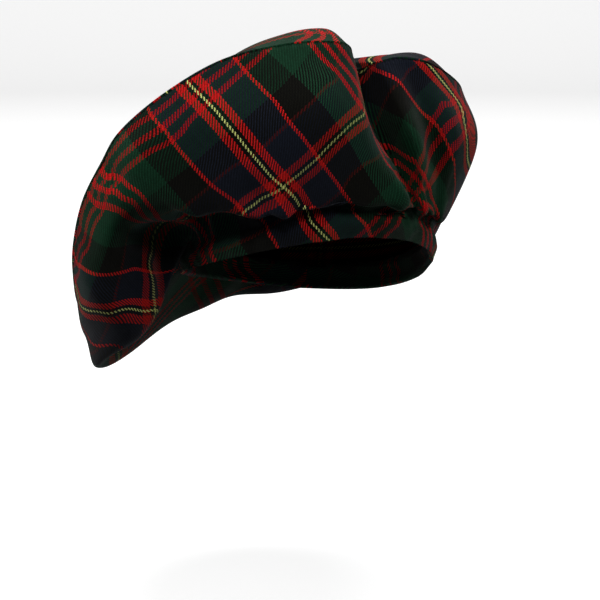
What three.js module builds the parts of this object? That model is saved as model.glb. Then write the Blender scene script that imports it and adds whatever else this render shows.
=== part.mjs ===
// A soft tam o' shanter of tartan wool, worn tilted, in millimetres.
// +X is the wearer's left, -Y the front, +Z up. The origin is the middle of the head opening.
// Two cloth pieces: a round top, and a side panel that turns under and is drawn in to a turned hem.
import * as THREE from "three";

// Driving sizes
const OPENING = { halfWidth: 83, halfLength: 101 }; // outside of the hem, which fits a 57 cm head
// The tilted opening climbs towards the front and the wearer's left, and is a little twisted.
const RISE = { middle: -2.5, left: 0.045, back: -0.307, twist: -0.0011 };
const HEM = { height: 17, bulge: 2.5, thickness: 3.0 }; // turned up, so the cloth lies double
const CLOTH_THICKNESS = 1.6;
const TUCK_REACH = 0.28; // how far out the tuck lies, as a share of the way from crease to belly
const SEAM_GAP = 0.2; // each piece stops this far short of the rim seam

// The round top: a ring half way in, as waves of height over the angle round the middle
const TOP = {
  middle: [-28, 22, 99],
  ringRadius: 56,
  ringHeight: 101,
  tiltLeft: 30.5,
  tiltBack: -31.5,
  saddle: -12,
  twist: 6.5,
  shoulderShare: 0.22, // where the puff behind the seam peaks, as a share of the way in
};
const GROOVE = { angle: -52, depth: 6, halfAngle: 24 }; // the valley runs on into the top

// Mesh steps
const COLUMN_PITCH = 11;
const LEVEL_STEPS = [1, 2, 2, 3, 4, 4]; // hem, hem bulge, crease above it, tuck, belly, flank, rim
const TOP_STEPS = [2, 3, 3]; // rim to shoulder, shoulder to ring, ring to middle

// One section a row, round the head: hem is its angle on the opening (0 front, 90 left),
// then where the panel turns under, where its flank stands, and where it meets the rim seam.
// puff lifts the top just behind the seam, flare leans the crease above the hem outwards, and tuck is
// how high the cloth goes in under the belly, as a share of the way up from that crease.
// hem, belly, flank, rim, puff, flare, tuck
const SECTIONS = [
  [-95, [-136, -5, -67], [-147, -3, -48], [-150, -3, -28], 6, 0, 0.3], // droop
  [-75, [-106, -54, -35], [-133, -72, -18], [-149, -55, 6], 8, 0, 0.3], // droop front
  [-66, [-88, -64, 0], [-128, -86, 5], [-146, -68, 30], 8, 0, 0.4], // droop lip
  [-58, [-99, -66, 29], [-122, -96, 31], [-139, -80, 54], 8, 0, 0.8], // pocket
  [-50, [-86, -102, 48], [-112, -109, 57], [-127, -90, 77], 7, 0, 0.9], // overhang
  [-42, [-67, -112, 49], [-100, -118, 79], [-114, -98, 98], 6, 0, 0.95], // front 1
  [-27, [-43, -118, 49], [-73, -124, 95], [-86, -108, 122], 5, 0, 0.95], // front 2
  [-12, [-20, -118, 50], [-40, -125, 101], [-51, -105, 142], 9, 0, 0.85], // front 3
  [6, [4, -113, 54], [-6, -122, 107], [-13, -98, 151], 15, 0.5, 0.6], // front 4
  [22, [30, -108, 57], [22, -112, 109], [14, -88, 152], 18, 1, 0.5], // front 5
  [38, [57, -94, 56], [38, -97, 102], [27, -76, 148], 17, 1, 0.5], // lobe edge
  [49, [66, -76, 52], [40, -55, 100], [31, -44, 132], 9, 1, 0.6], // valley
  [57, [74, -74, 50], [65, -82, 93], [45, -52, 137], 7, 1, 0.5], // ridge
  [65, [80, -58, 45], [78, -60, 90], [60, -50, 140], 8, 1, 0.5], // dip
  [75, [88, -44, 38], [97, -58, 88], [80, -44, 135], 13, 1, 0.5], // left lobe
  [92, [93, -2, 33], [111, -5, 79], [100, -13, 118], 24, 0.5, 0.5], // left
  [116, [84, 60, 12], [104, 66, 52], [98, 62, 99], 13, 0.5, 0.4], // left back
  [145, [60, 108, -16], [72, 126, 18], [60, 124, 70], 12, 0, 0.3], // back 1
  [180, [-15, 132, -38], [-20, 152, -6], [-22, 150, 42], 10, 0, 0.3], // back 2
  [-150, [-78, 110, -50], [-96, 124, -28], [-97, 126, 8], 8, 0, 0.3], // back 3
  [-120, [-118, 55, -68], [-133, 62, -52], [-142, 64, -28], 6, 0, 0.3], // droop back
].map(([hem, belly, flank, rim, puff, flare, tuck]) => ({ hem, belly, flank, rim, puff, flare, tuck }));

const vector = (list) => new THREE.Vector3(...list);
const spline = (points, closed) => new THREE.CatmullRomCurve3(points, closed, "catmullrom", 0.5);

// A point of the tilted opening, lifted along the head and leaned outwards.
function openingPoint(degrees, lift, lean) {
  const angle = THREE.MathUtils.degToRad(degrees);
  const x = (OPENING.halfWidth + lean) * Math.sin(angle);
  const y = -(OPENING.halfLength + lean) * Math.cos(angle);
  const height = RISE.middle + RISE.left * x + RISE.back * y + RISE.twist * x * y;
  return new THREE.Vector3(x, y, height + lift);
}

const creasePoint = (s) => openingPoint(s.hem, HEM.height, s.flare);

// Where the cloth goes in between the crease and the belly.
function tuckPoint(s) {
  const crease = creasePoint(s);
  const tuck = crease.clone().lerp(vector(s.belly), TUCK_REACH);
  tuck.z = THREE.MathUtils.lerp(crease.z, s.belly[2], s.tuck);
  return tuck;
}

// Places round the hat, as shares of the whole, with each section cut into even columns.
function columnPlaces() {
  const places = [];
  SECTIONS.forEach((section, i) => {
    const next = SECTIONS[(i + 1) % SECTIONS.length];
    const width = vector(section.rim).distanceTo(vector(next.rim));
    const columns = Math.max(3, Math.round(width / COLUMN_PITCH));
    for (let k = 0; k < columns; k++) places.push((i + k / columns) / SECTIONS.length);
  });
  return places;
}

// Places along a spline of steps.length spans, as shares of the whole.
function levelPlaces(steps) {
  const places = steps.flatMap((count, span) =>
    Array.from({ length: count }, (unused, k) => (span + k / count) / steps.length),
  );
  return [...places, 1];
}

const levelCurves = [
  SECTIONS.map((s) => openingPoint(s.hem, 0, 0)),
  SECTIONS.map((s) => openingPoint(s.hem, HEM.height / 2, HEM.bulge)),
  SECTIONS.map(creasePoint),
  SECTIONS.map(tuckPoint),
  SECTIONS.map((s) => vector(s.belly)),
  SECTIONS.map((s) => vector(s.flank)),
  SECTIONS.map((s) => vector(s.rim)),
].map((points) => spline(points, true));
const puffCurve = spline(
  SECTIONS.map((s) => new THREE.Vector3(s.puff, 0, 0)),
  true,
);
const middle = vector(TOP.middle);

// The ring half way in. The groove is left out where the ring only guides the far side.
function ringPoint(angle, grooved) {
  let height =
    TOP.ringHeight +
    TOP.tiltLeft * Math.cos(angle) +
    TOP.tiltBack * Math.sin(angle) +
    TOP.saddle * Math.cos(2 * angle) +
    TOP.twist * Math.sin(2 * angle);
  if (grooved) {
    const off = THREE.MathUtils.radToDeg(angle) - GROOVE.angle;
    const turn = THREE.MathUtils.euclideanModulo(off + 180, 360) - 180;
    height -= GROOVE.depth * Math.exp(-((turn / GROOVE.halfAngle) ** 2));
  }
  return new THREE.Vector3(
    middle.x + TOP.ringRadius * Math.cos(angle),
    middle.y + TOP.ringRadius * Math.sin(angle),
    height,
  );
}

// The outer face of the side panel: one column of points for each place round the hat.
function sideFace(columns) {
  const levels = levelPlaces(LEVEL_STEPS);
  return columns.map((u) => {
    const section = spline(levelCurves.map((curve) => curve.getPoint(u)));
    return levels.map((t) => section.getPoint(t));
  });
}

// The outer face of the top: one column from the rim to the middle for each place.
function topFace(columns) {
  const levels = levelPlaces(TOP_STEPS);
  return columns.map((u) => {
    const rim = levelCurves.at(-1).getPoint(u);
    const shoulder = rim.clone().lerp(middle, TOP.shoulderShare);
    shoulder.z += puffCurve.getPoint(u).x;
    const angle = Math.atan2(rim.y - middle.y, rim.x - middle.x);
    const radial = [rim, shoulder, ringPoint(angle, true), middle, ringPoint(angle + Math.PI, false)];
    const section = spline(radial);
    const shareToMiddle = (radial.length - 2) / (radial.length - 1);
    return levels.map((t) => section.getPoint(t * shareToMiddle));
  });
}

// The outward normal at each point of a face whose columns close round the hat.
function faceNormals(face) {
  const count = face.length;
  return face.map((column, i) => {
    const before = face[(i + count - 1) % count];
    const after = face[(i + 1) % count];
    return column.map((unused, j) => {
      const low = Math.max(j - 1, 0);
      const high = Math.min(j + 1, column.length - 1);
      const around = after[j].clone().sub(before[j]);
      const along = column[high].clone().sub(column[low]);
      return around.cross(along).normalize();
    });
  });
}

// Where the two pieces meet, both walls end on the plane that halves the corner.
function mitreDepth(sideNormal, topNormal) {
  const halfway = sideNormal.clone().add(topNormal);
  const cosine = Math.max(halfway.length() / 2, 0.5);
  return halfway.normalize().multiplyScalar(-CLOTH_THICKNESS / cosine);
}

// A closed body between an outer and an inner face, given as columns that close round the hat.
// Where the last level of the face is one point, the face ends there.
function shellGeometry(outer, inner, pointed) {
  const columns = outer.length;
  const levels = outer[0].length - (pointed ? 1 : 0);
  const positions = [];
  const faces = [];
  for (const face of [outer, inner])
    for (const column of face)
      for (const point of column.slice(0, levels)) positions.push(...point.toArray());
  const index = (layer, i, j) => (layer * columns + (i % columns)) * levels + j;
  const tips = [2 * columns * levels, 2 * columns * levels + 1];
  if (pointed) for (const face of [outer, inner]) positions.push(...face[0].at(-1).toArray());
  const quad = (a, b, c, d) => faces.push(a, b, c, a, c, d);
  for (let i = 0; i < columns; i++) {
    for (let j = 0; j < levels - 1; j++) {
      quad(index(0, i, j), index(0, i + 1, j), index(0, i + 1, j + 1), index(0, i, j + 1));
      quad(index(1, i, j), index(1, i, j + 1), index(1, i + 1, j + 1), index(1, i + 1, j));
    }
    const last = levels - 1;
    quad(index(1, i, 0), index(1, i + 1, 0), index(0, i + 1, 0), index(0, i, 0));
    if (pointed) {
      faces.push(index(0, i, last), index(0, i + 1, last), tips[0]);
      faces.push(index(1, i + 1, last), index(1, i, last), tips[1]);
    } else {
      quad(index(0, i, last), index(0, i + 1, last), index(1, i + 1, last), index(1, i, last));
    }
  }
  const geometry = new THREE.BufferGeometry();
  geometry.setAttribute("position", new THREE.Float32BufferAttribute(positions, 3));
  geometry.setIndex(faces);
  geometry.computeVertexNormals();
  return geometry;
}

const columns = columnPlaces();
const side = sideFace(columns);
const top = topFace(columns);
const sideNormals = faceNormals(side);
const topNormals = faceNormals(top);
const rimLevel = side[0].length - 1;
const middleNormal = topNormals
  .reduce((sum, column) => sum.add(column.at(-2)), new THREE.Vector3())
  .normalize();

// The side panel, thick at the turned hem and a single cloth above it.
function sidePanel() {
  const hemLevels = LEVEL_STEPS[0] + LEVEL_STEPS[1];
  const outer = side.map((column) => column.map((point) => point.clone()));
  const inner = outer.map((column, i) =>
    column.map((point, j) => {
      if (j === rimLevel) return point.clone().add(mitreDepth(sideNormals[i][j], topNormals[i][0]));
      const thickness = j < hemLevels ? HEM.thickness : CLOTH_THICKNESS;
      return point.clone().addScaledVector(sideNormals[i][j], -thickness);
    }),
  );
  outer.forEach((column, i) => {
    const back = column[rimLevel - 1].clone().sub(column[rimLevel]).setLength(SEAM_GAP);
    column[rimLevel].add(back);
    inner[i][rimLevel].add(back);
  });
  return shellGeometry(outer, inner, false);
}

// The round top, from its side of the rim seam to the middle.
function roundTop() {
  const outer = top.map((column) => column.map((point) => point.clone()));
  const inner = outer.map((column, i) =>
    column.map((point, j) => {
      if (j === 0) return point.clone().add(mitreDepth(sideNormals[i][rimLevel], topNormals[i][0]));
      const normal = j === column.length - 1 ? middleNormal : topNormals[i][j];
      return point.clone().addScaledVector(normal, -CLOTH_THICKNESS);
    }),
  );
  outer.forEach((column, i) => {
    const back = column[1].clone().sub(column[0]).setLength(SEAM_GAP);
    column[0].add(back);
    inner[i][0].add(back);
  });
  return shellGeometry(outer, inner, true);
}

const wool = { roughness: 0.9, metalness: 0 };
const crownSide = new THREE.Mesh(sidePanel(), new THREE.MeshStandardMaterial({ color: 0x14301f, ...wool }));
crownSide.name = "crown_side";
const crownTop = new THREE.Mesh(roundTop(), new THREE.MeshStandardMaterial({ color: 0x1b2547, ...wool }));
crownTop.name = "crown_top";

const hat = new THREE.Group();
hat.name = "tam_o_shanter";
hat.add(crownSide, crownTop);
export default hat;
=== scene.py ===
# Tam o' shanter in tartan wool: a full round top seamed to a deep side panel, drawn in to a turned hem.
# Lengths are in millimetres until a mesh is made, in the frame of the solids:
# +Z up as worn, -Y the front, +X the wearer's left, origin in the middle of the head opening.
import math

import bpy
import numpy as np
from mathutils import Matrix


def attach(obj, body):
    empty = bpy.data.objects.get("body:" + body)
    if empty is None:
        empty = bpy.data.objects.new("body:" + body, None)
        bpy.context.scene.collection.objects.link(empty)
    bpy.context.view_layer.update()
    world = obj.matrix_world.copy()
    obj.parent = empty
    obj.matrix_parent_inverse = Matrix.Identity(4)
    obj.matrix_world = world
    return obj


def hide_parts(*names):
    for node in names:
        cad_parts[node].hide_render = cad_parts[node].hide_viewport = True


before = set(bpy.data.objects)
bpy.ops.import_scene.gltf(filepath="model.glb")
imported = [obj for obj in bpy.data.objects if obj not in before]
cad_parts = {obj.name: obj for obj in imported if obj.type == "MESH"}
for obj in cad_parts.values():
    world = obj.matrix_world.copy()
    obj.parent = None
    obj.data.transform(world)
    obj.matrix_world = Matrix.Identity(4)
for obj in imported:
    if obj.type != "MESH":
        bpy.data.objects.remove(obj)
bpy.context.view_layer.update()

MM = 0.001
NEAR_ZERO = 1e-9

# The view: a camera in front of the hat, 9 degrees above it, and the pixel at which it sees the origin.
PICTURE_SIZE = 600
CAMERA_DISTANCE = 1500.0
CAMERA_ELEVATION = math.radians(9.0)
FOCAL_PIXELS = 2272.7
ORIGIN_PIXEL = (306.5, 264.0)
SENSOR_WIDTH = 36.0
SIGHT_END = 50.0

# The hem: half sizes of the opening, how its line rises, its height and how far it bulges.
OPENING_HALF_WIDTH = 83.0
OPENING_HALF_LENGTH = 101.0
RISE_MIDDLE = -2.5
RISE_LEFT = 0.045
RISE_BACK = -0.307
RISE_TWIST = -0.0011
HEM_HEIGHT = 17.0
HEM_BULGE = 2.5

# The top: its middle, a ring round that, how the ring tilts and bends, and the groove that the front fold
# makes in it. The shoulder lies a share of the way from the rim seam to the middle.
TOP_MIDDLE = np.array([-28.0, 22.0, 99.0])
RING_RADIUS = 56.0
RING_HEIGHT = 101.0
TILT_LEFT = 30.5
TILT_BACK = -31.5
SADDLE = -12.0
TWIST = 6.5
SHOULDER_SHARE = 0.22
GROOVE_ANGLE = -52.0
GROOVE_DEPTH = 6.0
GROOVE_HALF_ANGLE = 24.0

# One row for each section round the hat. Angle at the hem (0 is the front, 90 the wearer's left),
# then the points at the belly, the flank and the rim seam, the rise of the top just inside the rim,
# how far the crease above the hem flares out, and how high the cloth is tucked in under the belly,
# as a share of the way up from the crease.
SECTIONS = [
    # hem, belly, flank, rim, puff, flare, tuck
    (-95, (-136, -5, -67), (-147, -3, -48), (-150, -3, -28), 6, 0, 0.3),
    (-75, (-106, -54, -35), (-133, -72, -18), (-149, -55, 6), 8, 0, 0.3),
    (-66, (-88, -64, 0), (-128, -86, 5), (-146, -68, 30), 8, 0, 0.4),
    (-58, (-99, -66, 29), (-122, -96, 31), (-139, -80, 54), 8, 0, 0.8),
    (-50, (-86, -102, 48), (-112, -109, 57), (-127, -90, 77), 7, 0, 0.9),
    (-42, (-67, -112, 49), (-100, -118, 79), (-114, -98, 98), 6, 0, 0.95),
    (-27, (-43, -118, 49), (-73, -124, 95), (-86, -108, 122), 5, 0, 0.95),
    (-12, (-20, -118, 50), (-40, -125, 101), (-51, -105, 142), 9, 0, 0.85),
    (6, (4, -113, 54), (-6, -122, 107), (-13, -98, 151), 15, 0.5, 0.6),
    (22, (30, -108, 57), (22, -112, 109), (14, -88, 152), 18, 1, 0.5),
    (38, (57, -94, 56), (38, -97, 102), (27, -76, 148), 17, 1, 0.5),
    (49, (66, -76, 52), (40, -55, 100), (31, -44, 132), 9, 1, 0.6),
    (57, (74, -74, 50), (65, -82, 93), (45, -52, 137), 7, 1, 0.5),
    (65, (80, -58, 45), (78, -60, 90), (60, -50, 140), 8, 1, 0.5),
    (75, (88, -44, 38), (97, -58, 88), (80, -44, 135), 13, 1, 0.5),
    (92, (93, -2, 33), (111, -5, 79), (100, -13, 118), 24, 0.5, 0.5),
    (116, (84, 60, 12), (104, 66, 52), (98, 62, 99), 13, 0.5, 0.4),
    (145, (60, 108, -16), (72, 126, 18), (60, 124, 70), 12, 0, 0.3),
    (180, (-15, 132, -38), (-20, 152, -6), (-22, 150, 42), 10, 0, 0.3),
    (-150, (-78, 110, -50), (-96, 124, -28), (-97, 126, 8), 8, 0, 0.3),
    (-120, (-118, 55, -68), (-133, 62, -52), (-142, 64, -28), 6, 0, 0.3),
]
SECTION_COUNT = len(SECTIONS)
HEM_ANGLE, BELLY, FLANK, RIM, PUFF, FLARE, TUCK = (np.array(column, float) for column in zip(*SECTIONS))
# The sections of the back seam and of the middle of the front, the level of the rim seam, and how far the
# tuck reaches outwards from the crease to the belly.
BACK_SEAM = 18
FRONT_SECTION = 7
RIM_LEVEL = 6.0
TUCK_REACH = 0.28

# The cloth, and how finely its two pieces are cut up: columns round the hat, and stretches of levels, each
# with its start, its end and a number of steps. The inner face of the side ends in the turn of the hem.
CLOTH_THICKNESS = 1.6
HEM_THICKNESS = 3.0
HEM_TURN_LEVEL = 1.9
SIDE_COLUMNS = 520
SIDE_OUTER = [(0, 2, 30), (2, 3, 16), (3, 4, 24), (4, 5, 34), (5, 5.9, 28), (5.9, RIM_LEVEL, 6)]
SIDE_INNER = [(RIM_LEVEL, 4, 16), (4, 2.1, 12)]
HEM_TURN = [1.95, 1.9, 1.85, 1.6, 1.2, 0.8, 0.4, 0.15]
TOP_COLUMNS = 400
TOP_LAST_RING = 2.97
TOP_OUTER = [(0, 1, 26), (1, 2, 24), (2, TOP_LAST_RING, 25)]
TOP_INNER = [(TOP_LAST_RING, 0, 29)]

# The coarse grids on which the two pieces are laid flat: their levels and their columns for each section.
SIDE_LEVELS = np.array([0, 0.5, 1, 1.5, 2, 2.5, 3, 3.33, 3.67, 4, 4.25, 4.5, 4.75, 5, 5.25, 5.5, 5.75, 6])
SIDE_DIVISIONS = 3
TOP_LEVELS = np.array([0, 0.5, 1, 1.33, 1.67, 2, 2.33, 2.67])
TOP_DIVISIONS = 2
# The first guess of the flat side panel is a fan, and the first guess of the flat top is the top seen from
# above and turned.
FAN_ANGLE = math.radians(140)
FAN_RADIUS = 190
FAN_STEP = 31
TOP_TURN = math.radians(25.0)
# Laying flat: how stiffly a stripe is held where it shows, the number of rounds, and the least and the most
# that the shape of a triangle may count for.
STRIPE_HOLD = 10.0
FLATTEN_STEPS = 60
LEAST_STIFFNESS = 0.02
MOST_STIFFNESS = 8.0
TINY = 1e-6

# How finely a surface is searched for the place that shows at a pixel. Places within HIT count, in square
# pixels, or else the nearest one within MISS. Of those at one pixel, only the ones in front count.
SEARCH_COLUMNS = 1900
SEARCH_ROWS = 400
HIT = 1.5
MISS = 36
SAME_DEPTH = 4
FAR_OFF = 1e9
SHOWN_TOP_LEVEL = 2.6

# The tartan: distances from a yellow line, in millimetres. Both ways alike, and mirrored at the half repeat.
HALF_REPEAT = 84.0
THREAD_PITCH = 0.62
TWILL_REPEAT = 4
YELLOW = (0.62, 0.66, 0.20)
BLACK = (0.0034, 0.0034, 0.0020)
RED = (0.55, 0.0095, 0.0085)
NAVY = (0.0075, 0.0100, 0.0180)
GREEN = (0.0055, 0.0380, 0.0165)
# The single red line in the navy, which is dim in the threads that climb to the right. Those threads are
# darkened all over with painted shade, as if partly shaded by the raised threads that fall to the right.
SINGLE_MIDDLE = 32.5
SINGLE_HALF = 1.1
DIM_RED = (0.10, 0.0065, 0.0060)
UP_SHADE = (0.56, 0.56, 0.56)
# How threads differ from each other and wander from their line, how dark the painted shade in the gaps
# between threads is, how uneven the fibres look, and how far threads stand out, in metres.
THREAD_VARIATION = 0.35
THREAD_WANDER = 0.7
WANDER_SCALE = 0.11
GAP_SHADE = 0.35
FIBRE_VARIATION = 0.7
FIBRE_SCALE = 2.2
THREAD_RELIEF = 0.00022

# Where the stripes of the side panel show in the picture, in pixels, after their distance in the tartan.
# "down" stripes fall to the right and their distance grows upwards to the right; "up" stripes climb to the
# right and theirs grows downwards.
SIDE_STRIPES = {
    "down": [
        (0, [(187, 82), (212, 107), (239, 138), (264, 169), (281, 186), (297, 200), (305, 213)]),
        (0, [(310, 220), (328, 239)]),
        (33, [(235, 57), (253, 79), (289, 122), (309, 146), (328, 172), (345, 195), (354, 213), (372, 237)]),
        (75, [(310, 42), (340, 73), (359, 103), (370, 123), (382, 150)]),
        (84, [(326, 44), (346, 70)]),
        (93, [(384, 145), (396, 151), (407, 159)]),
        (84, [(384, 155), (395, 160), (405, 167)]),
        (75, [(389, 166), (399, 178), (408, 188), (420, 198), (431, 214)]),
        (135, [(374, 70), (401, 85), (414, 103), (433, 121), (447, 143), (456, 188)]),
        (168, [(430, 66), (442, 81), (456, 98), (464, 123), (467, 140), (468, 154), (468, 165)]),
        (174, [(470, 118), (473, 146)]),
        (-33, [(147, 109), (164, 129), (184, 156), (207, 182), (228, 199), (240, 209)]),
        (-33, [(273, 240), (277, 248)]),
        (-75, [(107, 178), (128, 186), (140, 192), (149, 204), (163, 219)]),
        (-84, [(112, 190), (135, 203)]),
        (-93, [(95, 205), (120, 212), (150, 224)]),
        (-75, [(211, 255)]),
        (-84, [(203, 255)]),
        (-93, [(188, 258)]),
        (-135, [(77, 264), (90, 271), (105, 274), (131, 268), (155, 272)]),
        (-168, [(80, 303), (100, 311), (125, 308), (154, 308)]),
        (-201, [(88, 341), (115, 343)]),
    ],
    "up": [
        (0, [(365, 112), (341, 134), (314, 162), (283, 188), (263, 200), (248, 210)]),
        (0, [(367, 67), (359, 78)]),
        (0, [(148, 262), (153, 290), (155, 306)]),
        (-33, [(338, 79), (313, 100), (295, 117), (272, 139), (254, 154)]),
        (-75, [(216, 97), (201, 110), (176, 138), (151, 151), (130, 167)]),
        (-84, [(205, 84), (192, 100), (158, 131), (137, 145), (114, 165)]),
        (-93, [(195, 77), (181, 90), (149, 116), (130, 129)]),
        (-84, [(97, 205), (85, 240), (77, 262)]),
        (33, [(380, 157), (366, 163), (353, 175), (343, 192)]),
        (33, [(417, 66), (401, 83)]),
        (75, [(441, 102), (434, 116)]),
        (93, [(451, 151), (437, 174), (427, 188)]),
    ],
}
# The same for the top, of which the picture shows a sliver.
TOP_STRIPES = {
    "down": [
        (0, [(165, 94)]),
        (75, [(299, 40), (311, 31)]),
        (84, [(318, 39)]),
        (93, [(338, 42)]),
        (168, [(366, 60)]),
    ],
    "up": [
        (-75, [(290, 36), (330, 33)]),
    ],
}
# Which of the two cloth coordinates counts across the stripes of a family.
STRIPE_AXIS = {"up": 0, "down": 1}

# Folds of the side panel that the picture shows: how far the cloth stands out (minus: sinks in) and how far
# that reaches to each side, in millimetres, then the fold's line in pixels. At its ends a fold has only a
# share of its depth.
FOLDS = [
    (3.0, 5.0, [(384, 152), (400, 174), (417, 197), (430, 214)]),
    (-3.0, 4.0, [(396, 178), (408, 196), (418, 212)]),
    (2.2, 4.5, [(392, 172), (401, 194), (408, 212)]),
    (-3.5, 5.0, [(418, 180), (428, 198), (434, 212)]),
    (-3.0, 5.0, [(405, 130), (414, 150), (413, 172)]),
    (2.5, 7.0, [(446, 158), (438, 175), (428, 192)]),
    (-2.0, 6.0, [(457, 160), (452, 185), (445, 202)]),
    (-2.2, 5.0, [(103, 165), (113, 177), (128, 183)]),
    (1.6, 6.0, [(98, 186), (112, 196), (134, 200)]),
    (-1.5, 6.0, [(105, 222), (125, 228), (142, 238)]),
    (-2.5, 6.0, [(318, 222), (300, 212), (288, 206)]),
    (1.8, 6.0, [(262, 222), (276, 216), (290, 222)]),
    (-2.0, 5.0, [(352, 214), (342, 207), (330, 206)]),
    (-1.2, 9.0, [(230, 212), (250, 196), (268, 176)]),
    (-2.6, 16.0, [(222, 208), (252, 205), (286, 202)]),
    (-7.0, 9.0, [(165, 228), (169, 246), (168, 268), (166, 292)]),
    (2.0, 5.0, [(149, 262), (153, 288), (153, 304)]),
    (3.5, 8.0, [(366, 214), (390, 216), (412, 218)]),
    (1.0, 9.0, [(196, 208), (206, 188), (214, 166)]),
]
FOLD_END_SHARE = 0.35

# Gathers that the drawn-in hem gives all round, ripples above them and unevenness of the hem. Each has its
# depth, the seed, columns and rows of its noise, and the levels over which it starts or ends.
GATHER_DEPTH = 2.4
GATHER_NOISE = (11, 52, 6)
GATHER_STRETCH = 0.3
GATHER_START = (1.7, 2.5)
GATHER_END = (3.5, 4.8)
RIPPLE_DEPTH = 1.1
RIPPLE_NOISE = (23, 34, 9)
RIPPLE_START = (2.2, 3.8)
RIPPLE_FREE_WIDTH = 12
HEM_RIPPLE = 0.7
HEM_NOISE = (37, 60, 12)
HEM_RIPPLE_END = (1.6, 2.2)
# Puckers along the rim seam, their uneven spacing, and the roll of the cloth's edge there.
PUCKER_DEPTH = 0.2
PUCKER_WIDTH = 9
PUCKER_COUNT = 96
UNEVEN_SPACING = 3
UNEVEN_COUNT = 5
SEAM_ROLL = 0.8
SEAM_ROLL_WIDTH = 2.2

# The floor and the wall that it curves up into, in metres, and how bright they are.
FLOOR_HEIGHT = -0.21
FLOOR_RADIUS = 4.0
FLOOR_DISC_RADIUS = 0.5
CURVE_RADIUS = 1.0
CURVE_POINTS = 12
WALL_HEIGHT = 5.0
FLOOR_COLUMNS = 72
FLOOR_COLOUR = (0.62, 0.62, 0.62, 1)
FLOOR_GLOW = 0.38

# The lights: name, place, size, power and the point that they face, in metres and watts.
HAT_POINT = (0.0, 0.0, 0.05)
WALL_POINT = (0.0, 3.0, 0.0)
LIGHTS = [
    ("left softbox", (-1.8, -1.15, 1.3), 0.9, 50, HAT_POINT),
    ("front softbox", (-0.2, -2.0, 1.6), 0.6, 21, HAT_POINT),
    ("right softbox", (1.7, -1.0, 1.1), 0.6, 26, HAT_POINT),
    ("top softbox", (-0.1, -0.3, 2.2), 0.7, 5, HAT_POINT),
    ("backdrop", (0.0, 1.2, 3.2), 2.5, 160, WALL_POINT),
]
WHITE = (1, 1, 1, 1)
SKY_STRENGTH = 0.045


def blend(points, share):
    """Catmull-Rom between the middle two of four points."""
    before, start, end, after = points
    return 0.5 * (
        2 * start
        + (end - before) * share
        + (2 * before - 5 * start + 4 * end - after) * share**2
        + (3 * start - before - 3 * end + after) * share**3
    )


def closed_spline(points, place):
    """Points of a closed curve; place counts the given points."""
    index = np.floor(place).astype(int)
    share = (place - index)[:, None]
    return blend([points[(index + k) % len(points)] for k in (-1, 0, 1, 2)], share)


def open_spline(controls, place):
    """Rows of open curves: controls (rows, points, 3) and place (places) give (rows, places, 3)."""
    first = 2 * controls[:, :1] - controls[:, 1:2]
    last = 2 * controls[:, -1:] - controls[:, -2:-1]
    points = np.concatenate([first, controls, last], 1)
    index = np.clip(np.floor(place).astype(int), 0, controls.shape[1] - 2)
    share = (place - index)[None, :, None]
    return blend([points[:, index + k] for k in range(4)], share)


def resample(grid, across, along):
    """Smooth values of a coarse grid (columns, rows, k) at column places and row places."""
    rows = open_spline(grid, along)
    return np.swapaxes(open_spline(np.swapaxes(rows, 0, 1), across), 0, 1)


def spread(stretches):
    """Values from the first stretch's start to the last one's end."""
    values = [np.linspace(start, end, steps, endpoint=False) for start, end, steps in stretches]
    return np.append(np.concatenate(values), stretches[-1][1])


def ease(value, low, high):
    """0 at or below low, 1 at or above high, smooth between."""
    share = np.clip((value - low) / (high - low), 0, 1)
    return share * share * (3 - 2 * share)


def nearness(distance, width):
    """1 at no distance, falling off over the width."""
    return np.exp(-((distance / width) ** 2))


def smooth_noise(noise, section, level):
    """Even noise between -1 and 1 over the panel; it joins up round the hat."""
    seed, columns, rows = noise
    values = np.random.default_rng(seed).uniform(-1, 1, (rows + 3, columns))
    across = section / SECTION_COUNT * columns
    first = np.floor(across).astype(int)
    share = (across - first)[None, :]
    wrapped = blend([values[:, (first + k) % columns] for k in (-1, 0, 1, 2)], share)
    along = level / RIM_LEVEL * rows
    return open_spline(wrapped.T[:, :, None], along)[..., 0]


def opening_point(degrees, lift, lean):
    """A point of the hem line, raised by lift and leaned out by lean."""
    angle = np.radians(degrees)
    x = (OPENING_HALF_WIDTH + lean) * np.sin(angle)
    y = -(OPENING_HALF_LENGTH + lean) * np.cos(angle)
    z = RISE_MIDDLE + RISE_LEFT * x + RISE_BACK * y + RISE_TWIST * x * y + lift
    return np.stack([x, y, z], -1)


def side_surface(section, level):
    """The side panel: section counts the sections, level runs from 0 at the hem to 6 at the rim seam."""
    crease = opening_point(HEM_ANGLE, HEM_HEIGHT, FLARE)
    tuck_share = np.full((SECTION_COUNT, 3), TUCK_REACH)
    tuck_share[:, 2] = TUCK
    lines = [
        opening_point(HEM_ANGLE, 0, 0),
        opening_point(HEM_ANGLE, HEM_HEIGHT / 2, HEM_BULGE),
        crease,
        crease + tuck_share * (BELLY - crease),
        BELLY,
        FLANK,
        RIM,
    ]
    controls = np.stack([closed_spline(line, section) for line in lines], 1)
    return open_spline(controls, level)


def ring_point(angle, grooved):
    """A point of the ring round the middle of the top."""
    height = RING_HEIGHT + TILT_LEFT * np.cos(angle) + TILT_BACK * np.sin(angle)
    height = height + SADDLE * np.cos(2 * angle) + TWIST * np.sin(2 * angle)
    if grooved:
        turn = (np.degrees(angle) - GROOVE_ANGLE + 180) % 360 - 180
        height = height - GROOVE_DEPTH * nearness(turn, GROOVE_HALF_ANGLE)
    x = TOP_MIDDLE[0] + RING_RADIUS * np.cos(angle)
    y = TOP_MIDDLE[1] + RING_RADIUS * np.sin(angle)
    return np.stack([x, y, height], -1)


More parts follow.
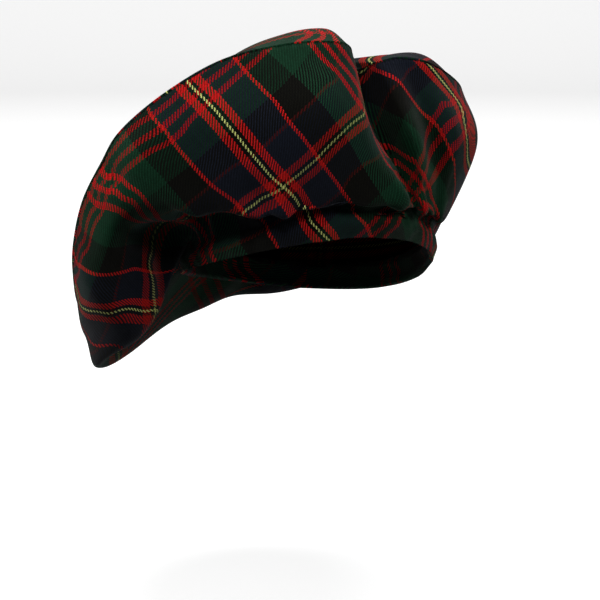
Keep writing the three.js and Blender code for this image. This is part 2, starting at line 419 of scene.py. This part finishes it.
def top_surface(section, level):
    """The top: level runs from 0 at the rim seam over 1, the shoulder, and 2, the ring, to 3, the middle."""
    rim = closed_spline(RIM, section)
    shoulder = rim * (1 - SHOULDER_SHARE) + TOP_MIDDLE * SHOULDER_SHARE
    shoulder[:, 2] += closed_spline(PUFF[:, None], section)[:, 0]
    angle = np.arctan2(rim[:, 1] - TOP_MIDDLE[1], rim[:, 0] - TOP_MIDDLE[0])
    middle = np.repeat(TOP_MIDDLE[None], len(section), 0)
    across = ring_point(angle + math.pi, False)
    controls = np.stack([rim, shoulder, ring_point(angle, True), middle, across], 1)
    return open_spline(controls, level)


def surface_normals(points):
    """Outward unit normals of a grid (columns, rows, 3) whose last column is next to the first."""
    along = np.roll(points, -1, 0) - np.roll(points, 1, 0)
    normal = np.cross(along, np.gradient(points, axis=1))
    return normal / np.maximum(np.linalg.norm(normal, axis=-1, keepdims=True), NEAR_ZERO)


def project(points):
    """Pixels and depths of points as the camera sees them."""
    up = points[..., 2] * math.cos(CAMERA_ELEVATION) + points[..., 1] * math.sin(CAMERA_ELEVATION)
    depth = CAMERA_DISTANCE + points[..., 1] * math.cos(CAMERA_ELEVATION)
    depth = depth - points[..., 2] * math.sin(CAMERA_ELEVATION)
    across = ORIGIN_PIXEL[0] + points[..., 0] / depth * FOCAL_PIXELS
    down = ORIGIN_PIXEL[1] - up / depth * FOCAL_PIXELS
    return across, down, depth


class PictureFinder:
    """Finds the place of a surface, as section and level, that shows at a pixel of the picture."""

    def __init__(self, surface, top_level):
        self.surface = surface
        self.sections = np.linspace(0, SECTION_COUNT, SEARCH_COLUMNS, endpoint=False)
        self.levels = np.linspace(0, top_level, SEARCH_ROWS)
        self.across, self.down, self.depth = project(surface(self.sections, self.levels))

    def place(self, across, down):
        """The place that shows at the pixel, or None where the surface doesn't show."""
        off = (self.across - across) ** 2 + (self.down - down) ** 2
        close = off < HIT
        if close.any():
            nearest = np.where(close, self.depth, FAR_OFF).min()
            off = np.where(close & (self.depth < nearest + SAME_DEPTH), off, FAR_OFF)
        column, row = np.unravel_index(off.argmin(), off.shape)
        if off[column, row] > MISS:
            return None
        return self.sections[column], self.levels[row]

    def places(self, pixels):
        """The places of those pixels at which the surface shows."""
        found = [self.place(*pixel) for pixel in pixels]
        return [place for place in found if place]


def find_folds(finder):
    """The folds as (depth, width, points of the surface along the fold)."""
    folds = []
    for depth, width, pixels in FOLDS:
        points = [finder.surface(*np.reshape(place, (2, 1)))[0, 0] for place in finder.places(pixels)]
        folds.append((depth, width, points))
    return folds


def fold_offsets(points, folds):
    """How far each point of a grid is moved out by the folds drawn from the picture."""
    flat = points.reshape(-1, 3)
    moved = np.zeros(len(flat))
    for depth, width, line in folds:
        best = np.full(len(flat), FAR_OFF)
        where = np.zeros(len(flat))
        for number, (start, end) in enumerate(zip(line[:-1], line[1:])):
            along = end - start
            share = np.clip((flat - start) @ along / max(along @ along, NEAR_ZERO), 0, 1)
            off = np.linalg.norm(flat - start - share[:, None] * along, axis=1)
            closer = off < best
            best = np.where(closer, off, best)
            where = np.where(closer, (number + share) / (len(line) - 1), where)
        taper = FOLD_END_SHARE + (1 - FOLD_END_SHARE) * np.sin(np.pi * where)
        moved += depth * taper * nearness(best, width)
    return moved.reshape(points.shape[:2])


def dressed_side(section, level, folds):
    """The side panel with its folds, gathers and puckers."""
    points = side_surface(section % SECTION_COUNT, level)
    turn = section[:, None] / SECTION_COUNT
    height = level[None, :]
    gathers = smooth_noise(GATHER_NOISE, section, level * GATHER_STRETCH) * GATHER_DEPTH
    gathers = gathers * ease(height, *GATHER_START) * (1 - ease(height, *GATHER_END))
    ripples = smooth_noise(RIPPLE_NOISE, section, level) * RIPPLE_DEPTH * ease(height, *RIPPLE_START)
    hem = smooth_noise(HEM_NOISE, section, level) * HEM_RIPPLE * (1 - ease(height, *HEM_RIPPLE_END))
    below_rim = np.linalg.norm(points - points[:, -1:], axis=-1)
    uneven = UNEVEN_SPACING * np.sin(2 * np.pi * UNEVEN_COUNT * turn)
    puckers = np.sin(2 * np.pi * PUCKER_COUNT * turn + uneven) * PUCKER_DEPTH
    puckers = puckers * nearness(below_rim, PUCKER_WIDTH)
    roll = -SEAM_ROLL * nearness(below_rim, SEAM_ROLL_WIDTH)
    away = gathers + ripples * (1 - nearness(below_rim, RIPPLE_FREE_WIDTH)) + hem + puckers + roll
    away = away + fold_offsets(points, folds)
    return points + surface_normals(points) * away[..., None]


def number_grid(columns, rows):
    """Vertex numbers of a grid."""
    return np.arange(columns * rows).reshape(columns, rows)


def close_round(index):
    """The grid with its first column again at the end."""
    return np.concatenate([index, index[:1]], 0)


def close_rows(index):
    """The grid with its first row again at the end."""
    return np.concatenate([index, index[:, :1]], 1)


def quads(index):
    """The quads of a grid of vertex numbers (columns, rows)."""
    each = np.stack([index[:-1, :-1], index[1:, :-1], index[1:, 1:], index[:-1, 1:]], -1)
    return each.reshape(-1, 4)


def end_fans(index, first_point, last_point):
    """Triangles that close a tube of quads, from its first row to one point and its last row to another."""
    count = len(index) - 1
    first = np.stack([index[1:, 0], index[:-1, 0], np.full(count, first_point)], -1)
    last = np.stack([index[:-1, -1], index[1:, -1], np.full(count, last_point)], -1)
    return np.concatenate([first, last])


def grid_triangles(index):
    """Both diagonals of each cell of a grid of vertex numbers, so that neither way is stiffer."""
    a, b, c, d = index[:-1, :-1], index[1:, :-1], index[1:, 1:], index[:-1, 1:]
    corners = [(a, b, c), (a, c, d), (a, b, d), (b, c, d)]
    return np.concatenate([np.stack(each, -1).reshape(-1, 3) for each in corners])


def triangle_shapes(points, triangles):
    """Each triangle laid in a plane of its own: (triangles, corners, 2)."""
    corners = points[triangles]
    edge_one = corners[:, 1] - corners[:, 0]
    edge_two = corners[:, 2] - corners[:, 0]
    length = np.linalg.norm(edge_one, axis=1)
    unit = edge_one / length[:, None]
    across = (edge_two * unit).sum(1)
    shapes = np.zeros((len(triangles), 3, 2))
    shapes[:, 1, 0] = length
    shapes[:, 2, 0] = across
    shapes[:, 2, 1] = np.linalg.norm(edge_two - across[:, None] * unit, axis=1)
    return shapes


def edge_weights(shapes):
    """How stiff the three edges of each triangle are, from the cotangent of the angle opposite.

    Half of that is usual, and a quarter here, because the triangles cover each cell of a grid twice.
    """
    weights = []
    for k in range(3):
        one = shapes[:, k] - shapes[:, (k + 2) % 3]
        two = shapes[:, (k + 1) % 3] - shapes[:, (k + 2) % 3]
        cross = np.abs(one[:, 0] * two[:, 1] - one[:, 1] * two[:, 0])
        cotangent = (one * two).sum(1) / np.maximum(cross, TINY)
        weights.append(np.clip(cotangent, LEAST_STIFFNESS, MOST_STIFFNESS) / 4)
    return weights


def flatten(points, triangles, start, pins):
    """Lays a surface flat with as little stretch as it can, and holds stripes where they show.

    pins: (vertices, shares, axis, value); start gives the first guess of the flat places.
    """
    shapes = triangle_shapes(points, triangles)
    edges = [shapes[:, k] - shapes[:, (k + 1) % 3] for k in range(3)]
    ends = [(triangles[:, k], triangles[:, (k + 1) % 3]) for k in range(3)]
    weights = edge_weights(shapes)
    count = len(points)
    stiffness = np.zeros((count, count))
    for (i, j), weight in zip(ends, weights):
        for p, q, sign in ((i, i, 1), (j, j, 1), (i, j, -1), (j, i, -1)):
            np.add.at(stiffness, (p, q), sign * weight)
    held = np.zeros((count, 2))
    systems = [stiffness + TINY * np.eye(count), stiffness + TINY * np.eye(count)]
    for vertices, shares, axis, value in pins:
        systems[axis][np.ix_(vertices, vertices)] += STRIPE_HOLD * np.outer(shares, shares)
        held[vertices, axis] += STRIPE_HOLD * shares * value
    inverses = [np.linalg.inv(system) for system in systems]
    flat = start.copy()
    for _ in range(FLATTEN_STEPS):
        # The turn that best takes each triangle to where it lies now.
        turn = np.zeros((len(triangles), 2, 2))
        for (i, j), weight, edge in zip(ends, weights, edges):
            turn += weight[:, None, None] * (flat[i] - flat[j])[:, :, None] * edge[:, None, :]
        angle = np.arctan2(turn[:, 1, 0] - turn[:, 0, 1], turn[:, 0, 0] + turn[:, 1, 1])
        cosine, sine = np.cos(angle), np.sin(angle)
        # The flat places that suit the turned triangles best.
        pull = held.copy()
        for (i, j), weight, edge in zip(ends, weights, edges):
            x, y = edge.T
            turned = np.stack([cosine * x - sine * y, sine * x + cosine * y], -1) * weight[:, None]
            np.add.at(pull, i, turned)
            np.add.at(pull, j, -turned)
        flat = np.stack([inverses[0] @ pull[:, 0], inverses[1] @ pull[:, 1]], -1)
    return flat


def stripe_pins(stripes, finder, levels, index, first_section):
    """The stripes' pixels as pins on a grid of vertex numbers with these levels."""
    divisions = (len(index) - 1) // SECTION_COUNT
    pins = []
    for family, lines in stripes.items():
        for value, pixels in lines:
            for section, level in finder.places(pixels):
                column = ((section - first_section) % SECTION_COUNT) * divisions
                row = np.interp(level, levels, np.arange(len(levels)))
                i = min(int(column), len(index) - 2)
                j = min(int(row), len(levels) - 2)
                x, y = column - i, row - j
                vertices = index[[i, i + 1, i, i + 1], [j, j, j + 1, j + 1]]
                shares = np.array([(1 - x) * (1 - y), x * (1 - y), (1 - x) * y, x * y])
                pins.append((vertices, shares, STRIPE_AXIS[family], value))
    return pins


def lay_side_flat(finder):
    """Cloth coordinates of the side panel on a coarse grid that starts and ends at the back seam."""
    columns = SECTION_COUNT * SIDE_DIVISIONS + 1
    sections = BACK_SEAM + np.arange(columns) / SIDE_DIVISIONS
    points = side_surface(sections % SECTION_COUNT, SIDE_LEVELS)
    index = number_grid(columns, len(SIDE_LEVELS))
    front_column = (SECTION_COUNT - BACK_SEAM + FRONT_SECTION) * SIDE_DIVISIONS
    angle = (np.arange(columns) - front_column) / (columns - 1) * FAN_ANGLE
    radius = FAN_RADIUS + FAN_STEP * SIDE_LEVELS
    across = np.sin(angle)[:, None] * radius
    up = np.cos(angle)[:, None] * radius
    # The fan is turned by an eighth of a turn, because the stripes cross it slantwise.
    start = np.stack([across - up, across + up], -1) * math.sqrt(0.5)
    pins = stripe_pins(SIDE_STRIPES, finder, SIDE_LEVELS, index, BACK_SEAM)
    flat = flatten(points.reshape(-1, 3), grid_triangles(index), start.reshape(-1, 2), pins)
    return flat.reshape(columns, len(SIDE_LEVELS), 2)


def lay_top_flat(finder):
    """Cloth coordinates of the top on a coarse grid of rings; the last row is the middle."""
    columns = SECTION_COUNT * TOP_DIVISIONS
    rings = top_surface(np.arange(columns) / TOP_DIVISIONS, TOP_LEVELS)
    points = np.concatenate([rings.reshape(-1, 3), TOP_MIDDLE[None]])
    index = close_round(number_grid(columns, len(TOP_LEVELS)))
    middle = np.full(columns, len(points) - 1)
    fan = np.stack([index[:-1, -1], index[1:, -1], middle], -1)
    triangles = np.concatenate([grid_triangles(index), fan])
    x, y = (points[:, :2] - TOP_MIDDLE[:2]).T
    cosine, sine = math.cos(TOP_TURN), math.sin(TOP_TURN)
    start = np.stack([-y * cosine - x * sine, x * cosine - y * sine], -1)
    pins = stripe_pins(TOP_STRIPES, finder, TOP_LEVELS, index, 0)
    flat = flatten(points, triangles, start, pins)
    grid = flat[:-1].reshape(columns, len(TOP_LEVELS), 2)
    return np.concatenate([grid, np.repeat(flat[-1:][None], columns, 0)], 1)


def make_mesh(name, points, faces, corner_places):
    """A mesh piece in metres with its cloth coordinates, a pair for each face corner, in millimetres."""
    mesh = bpy.data.meshes.new(name)
    mesh.from_pydata((points * MM).tolist(), [], faces)
    layer = mesh.uv_layers.new(name="cloth")
    layer.data.foreach_set("uv", np.asarray(corner_places, np.float32).ravel())
    mesh.polygons.foreach_set("use_smooth", [True] * len(mesh.polygons))
    mesh.validate()
    mesh.update()
    piece = bpy.data.objects.new(name, mesh)
    bpy.context.scene.collection.objects.link(piece)
    return piece


def build_side():
    """The side panel as one closed shell: up its outer face and down its inner face to the hem."""
    finder = PictureFinder(side_surface, RIM_LEVEL)
    folds = find_folds(finder)
    sections = BACK_SEAM + np.arange(SIDE_COLUMNS + 1) * (SECTION_COUNT / SIDE_COLUMNS)
    outer_levels = spread(SIDE_OUTER)
    inner_levels = np.append(spread(SIDE_INNER), HEM_TURN)
    outer = dressed_side(sections[:-1], outer_levels, folds)
    inner = dressed_side(sections[:-1], inner_levels[::-1], folds)
    thickness = np.where(inner_levels > HEM_TURN_LEVEL, CLOTH_THICKNESS, HEM_THICKNESS)
    inner = inner[:, ::-1] - surface_normals(inner)[:, ::-1] * thickness[None, :, None]
    rows = np.concatenate([outer, inner], 1)
    levels = np.concatenate([outer_levels, inner_levels])
    columns = (sections - BACK_SEAM) * SIDE_DIVISIONS
    places = np.interp(levels, SIDE_LEVELS, np.arange(len(SIDE_LEVELS)))
    cloth = resample(lay_side_flat(finder), columns, places)
    index = close_rows(close_round(number_grid(SIDE_COLUMNS, len(levels))))
    corner = close_rows(number_grid(SIDE_COLUMNS + 1, len(levels)))
    corner_places = cloth.reshape(-1, 2)[quads(corner).ravel()]
    return make_mesh("tam_side", rows.reshape(-1, 3), quads(index).tolist(), corner_places)


def build_top():
    """The top as one closed shell, with the middle of each face a single point."""
    sections = np.arange(TOP_COLUMNS + 1) * (SECTION_COUNT / TOP_COLUMNS)
    outer_levels = spread(TOP_OUTER)
    inner_levels = spread(TOP_INNER)
    outer = top_surface(sections[:-1], outer_levels)
    inner = top_surface(sections[:-1], inner_levels[::-1])
    inner = (inner - surface_normals(inner) * CLOTH_THICKNESS)[:, ::-1]
    middles = np.stack([TOP_MIDDLE, TOP_MIDDLE - np.array([0, 0, CLOTH_THICKNESS])])
    rows = np.concatenate([inner, outer], 1)
    levels = np.concatenate([inner_levels, outer_levels])
    points = np.concatenate([rows.reshape(-1, 3), middles])
    grid = lay_top_flat(PictureFinder(top_surface, SHOWN_TOP_LEVEL))
    # Two columns are repeated before the coarse grid and three after it, so that it joins up smoothly.
    wrapped = np.concatenate([grid[-2:], grid, grid[:3]], 0)
    columns = sections * TOP_DIVISIONS + 2
    places = np.interp(levels, np.append(TOP_LEVELS, 3.0), np.arange(len(TOP_LEVELS) + 1))
    cloth = resample(wrapped, columns, places)
    cloth_places = np.concatenate([cloth.reshape(-1, 2), grid[:1, -1]])
    index = close_round(number_grid(TOP_COLUMNS, len(levels)))
    corner = number_grid(TOP_COLUMNS + 1, len(levels))
    last = len(points) - 1
    faces = quads(index).tolist() + end_fans(index, last, last - 1).tolist()
    middle_place = len(cloth_places) - 1
    corners = np.append(quads(corner), end_fans(corner, middle_place, middle_place))
    return make_mesh("tam_top", points, faces, cloth_places[corners])


class ClothNodes:
    """Makes the nodes of the tartan from the cloth coordinates in millimetres."""

    def __init__(self, tree):
        self.nodes = tree.nodes
        self.links = tree.links

    def join(self, value, socket):
        """Links another node's output to a socket, or sets the socket to a number or a colour."""
        if isinstance(value, bpy.types.NodeSocket):
            self.links.new(value, socket)
        elif isinstance(value, tuple):
            socket.default_value = (*value, 1)
        else:
            socket.default_value = value

    def maths(self, operation, *values):
        """A calculation with numbers."""
        node = self.nodes.new("ShaderNodeMath")
        node.operation = operation
        for value, socket in zip(values, node.inputs):
            self.join(value, socket)
        return node.outputs[0]

    def mix(self, blend_type, factor, one, two):
        """A mix of two colours."""
        node = self.nodes.new("ShaderNodeMix")
        node.data_type = "RGBA"
        node.blend_type = blend_type
        for value, number in ((factor, 0), (one, 6), (two, 7)):
            self.join(value, node.inputs[number])
        return node.outputs[2]

    def noise(self, vector, dimensions, scale, detail):
        """Smooth noise over the cloth."""
        node = self.nodes.new("ShaderNodeTexNoise")
        node.noise_dimensions = dimensions
        node.inputs["Scale"].default_value = scale
        node.inputs["Detail"].default_value = detail
        self.links.new(vector, node.inputs["Vector"])
        return node

    def wandered(self, coordinate, noise):
        """The coordinate with the threads wandering a little from their line."""
        return self.maths("MULTIPLY_ADD", self.maths("SUBTRACT", noise, 0.5), THREAD_WANDER, coordinate)

    def thread_number(self, coordinate):
        """The number of the thread nearest to a coordinate across the threads."""
        threads = self.maths("DIVIDE", coordinate, THREAD_PITCH)
        return self.maths("FLOOR", self.maths("ADD", threads, 0.5))

    def roundness(self, coordinate, thread):
        """1 on the crown of a thread and 0 at its edges."""
        off = self.maths("SUBTRACT", self.maths("DIVIDE", coordinate, THREAD_PITCH), thread)
        return self.maths("SUBTRACT", 1.0, self.maths("MULTIPLY", self.maths("MULTIPLY", off, off), 4.0))

    def float_height(self, coordinate, crossing):
        """1 in the middle of a float over two threads and 0 where it dives."""
        along = self.maths("ADD", self.maths("DIVIDE", coordinate, THREAD_PITCH), 0.5)
        turn = self.maths("MULTIPLY", self.maths("ADD", along, crossing), math.pi / 2)
        return self.maths("ABSOLUTE", self.maths("SINE", turn))

    def sett(self, thread, single_red):
        """The colour of a thread, by its number counted from a yellow line."""
        middle = self.maths("MULTIPLY", thread, THREAD_PITCH)
        share = self.maths("DIVIDE", self.maths("PINGPONG", middle, HALF_REPEAT), HALF_REPEAT)
        ramp = self.nodes.new("ShaderNodeValToRGB")
        ramp.color_ramp.interpolation = "CONSTANT"
        stripes = [
            (0.0, YELLOW),
            (0.95, BLACK),
            (3.2, RED),
            (9.0, NAVY),
            (SINGLE_MIDDLE - SINGLE_HALF, single_red),
            (SINGLE_MIDDLE + SINGLE_HALF, BLACK),
            (52.0, GREEN),
            (73.0, RED),
            (77.0, GREEN),
            (82.0, RED),
        ]
        elements = ramp.color_ramp.elements
        while len(elements) < len(stripes):
            elements.new(0.5)
        for element, (at, colour) in zip(elements, stripes):
            element.position = at / HALF_REPEAT
            element.color = (*colour, 1)
        self.links.new(share, ramp.inputs[0])
        uneven = self.nodes.new("ShaderNodeTexWhiteNoise")
        uneven.noise_dimensions = "1D"
        self.links.new(thread, uneven.inputs["W"])
        plain = 1 - THREAD_VARIATION / 2
        shade = self.maths("MULTIPLY_ADD", uneven.outputs["Value"], THREAD_VARIATION, plain)
        return self.mix("MULTIPLY", 1.0, ramp.outputs[0], shade)


def tartan_wool():
    """Tartan wool in a 2/2 twill, drawn thread by thread.

    The first cloth coordinate counts across the stripes that climb to the right, and the threads that lie
    along those are the "up" threads. The second does the same for the "down" ones.
    """
    material = bpy.data.materials.new("tartan_wool")
    material.use_nodes = True
    shader = material.node_tree.nodes["Principled BSDF"]
    cloth = ClothNodes(material.node_tree)
    place = cloth.nodes.new("ShaderNodeUVMap")
    place.uv_map = "cloth"
    coordinates = place.outputs["UV"]
    waves = cloth.noise(coordinates, "2D", WANDER_SCALE, 1.0)
    split = cloth.nodes.new("ShaderNodeSeparateXYZ")
    cloth.links.new(coordinates, split.inputs[0])
    wander = cloth.nodes.new("ShaderNodeSeparateColor")
    cloth.links.new(waves.outputs["Color"], wander.inputs[0])
    up = cloth.wandered(split.outputs[0], wander.outputs[0])
    down = cloth.wandered(split.outputs[1], wander.outputs[1])
    up_thread = cloth.thread_number(up)
    down_thread = cloth.thread_number(down)

    order = cloth.maths("FLOORED_MODULO", cloth.maths("ADD", down_thread, up_thread), TWILL_REPEAT)
    down_shows = cloth.maths("LESS_THAN", order, TWILL_REPEAT / 2 - 0.5)
    down_height = cloth.maths(
        "MULTIPLY", cloth.roundness(down, down_thread), cloth.float_height(up, down_thread)
    )
    up_height = cloth.maths(
        "MULTIPLY", cloth.roundness(up, up_thread), cloth.float_height(down, up_thread)
    )
    height = cloth.nodes.new("ShaderNodeMix")
    for value, number in ((down_shows, 0), (up_height, 2), (down_height, 3)):
        cloth.join(value, height.inputs[number])

    # Painted shade: the threads that climb to the right are darkened all over.
    up_colour = cloth.mix("MULTIPLY", 1.0, cloth.sett(up_thread, DIM_RED), UP_SHADE)
    colour = cloth.mix("MIX", down_shows, up_colour, cloth.sett(down_thread, RED))
    # Painted shade in the gaps between threads and where each thread dives under the next.
    shade = cloth.maths("MULTIPLY_ADD", height.outputs[0], 1 - GAP_SHADE, GAP_SHADE)
    colour = cloth.mix("MULTIPLY", 1.0, colour, shade)
    fibres = cloth.noise(coordinates, "3D", FIBRE_SCALE, 3.0)
    mottle = cloth.maths("MULTIPLY_ADD", fibres.outputs[0], FIBRE_VARIATION, 1 - FIBRE_VARIATION / 2)
    colour = cloth.mix("MULTIPLY", 1.0, colour, mottle)
    cloth.links.new(colour, shader.inputs["Base Color"])
    relief = cloth.nodes.new("ShaderNodeBump")
    relief.inputs["Strength"].default_value = 0.6
    relief.inputs["Distance"].default_value = THREAD_RELIEF
    cloth.links.new(height.outputs[0], relief.inputs["Height"])
    cloth.links.new(relief.outputs[0], shader.inputs["Normal"])
    shader.inputs["Roughness"].default_value = 0.95
    shader.inputs["Specular IOR Level"].default_value = 0.03
    shader.inputs["Sheen Weight"].default_value = 0.036
    shader.inputs["Sheen Roughness"].default_value = 0.5
    return material


def add_camera():
    """The camera of the view, with the lens shifted so that the origin is at its pixel."""
    data = bpy.data.cameras.new("view")
    data.sensor_width = SENSOR_WIDTH
    data.lens = FOCAL_PIXELS / PICTURE_SIZE * SENSOR_WIDTH
    data.shift_x = (PICTURE_SIZE / 2 - ORIGIN_PIXEL[0]) / PICTURE_SIZE
    data.shift_y = (ORIGIN_PIXEL[1] - PICTURE_SIZE / 2) / PICTURE_SIZE
    data.clip_end = SIGHT_END
    camera = bpy.data.objects.new("view", data)
    distance = CAMERA_DISTANCE * MM
    camera.location = (0, -distance * math.cos(CAMERA_ELEVATION), distance * math.sin(CAMERA_ELEVATION))
    camera.rotation_euler = (math.pi / 2 - CAMERA_ELEVATION, 0, 0)
    bpy.context.scene.collection.objects.link(camera)
    bpy.context.scene.camera = camera


def add_light(name, location, size, power, aim):
    """A round soft light that faces a point."""
    data = bpy.data.lights.new(name, "AREA")
    data.shape = "DISK"
    data.size = size
    data.energy = power
    lamp = bpy.data.objects.new(name, data)
    lamp.location = location
    away = np.array(location) - np.array(aim)
    yaw = math.atan2(away[1], away[0]) + math.pi / 2
    pitch = math.acos(away[2] / np.linalg.norm(away))
    lamp.rotation_euler = (pitch, 0, yaw)
    bpy.context.scene.collection.objects.link(lamp)


def add_stage():
    """A round pale floor that curves up into a wall all round."""
    turns = np.linspace(0, math.pi / 2, CURVE_POINTS)
    curve_out = FLOOR_RADIUS + CURVE_RADIUS * np.sin(turns)
    curve_up = CURVE_RADIUS * (1 - np.cos(turns))
    radius = np.concatenate([[FLOOR_DISC_RADIUS], curve_out, [FLOOR_RADIUS + CURVE_RADIUS]])
    height = np.concatenate([[0.0], curve_up, [WALL_HEIGHT]]) + FLOOR_HEIGHT
    angle = -np.linspace(0, 2 * math.pi, FLOOR_COLUMNS, endpoint=False)[:, None]
    points = np.stack([radius * np.cos(angle), radius * np.sin(angle), height + 0 * angle], -1)
    index = number_grid(FLOOR_COLUMNS, len(radius))
    faces = quads(close_round(index)).tolist()
    faces.append(index[::-1, 0].tolist())
    mesh = bpy.data.meshes.new("floor")
    mesh.from_pydata(points.reshape(-1, 3).tolist(), [], faces)
    mesh.polygons.foreach_set("use_smooth", [True] * len(mesh.polygons))
    floor = bpy.data.objects.new("floor", mesh)
    material = bpy.data.materials.new("floor")
    material.use_nodes = True
    shader = material.node_tree.nodes["Principled BSDF"]
    shader.inputs["Base Color"].default_value = FLOOR_COLOUR
    shader.inputs["Roughness"].default_value = 0.8
    shader.inputs["Emission Color"].default_value = WHITE
    shader.inputs["Emission Strength"].default_value = FLOOR_GLOW
    mesh.materials.append(material)
    bpy.context.scene.collection.objects.link(floor)
    floor.visible_diffuse = False


def add_world():
    """A faint white sky that lights the shadows."""
    world = bpy.data.worlds.new("studio")
    world.use_nodes = True
    world.node_tree.nodes["Background"].inputs["Color"].default_value = WHITE
    world.node_tree.nodes["Background"].inputs["Strength"].default_value = SKY_STRENGTH
    bpy.context.scene.world = world


add_camera()
bpy.context.scene.view_settings.view_transform = "Standard"
wool = tartan_wool()
for piece, node in ((build_side(), "crown_side"), (build_top(), "crown_top")):
    piece.data.materials.append(wool)
    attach(piece, "root")
    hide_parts(node)
add_stage()
add_world()
for light in LIGHTS:
    add_light(*light)
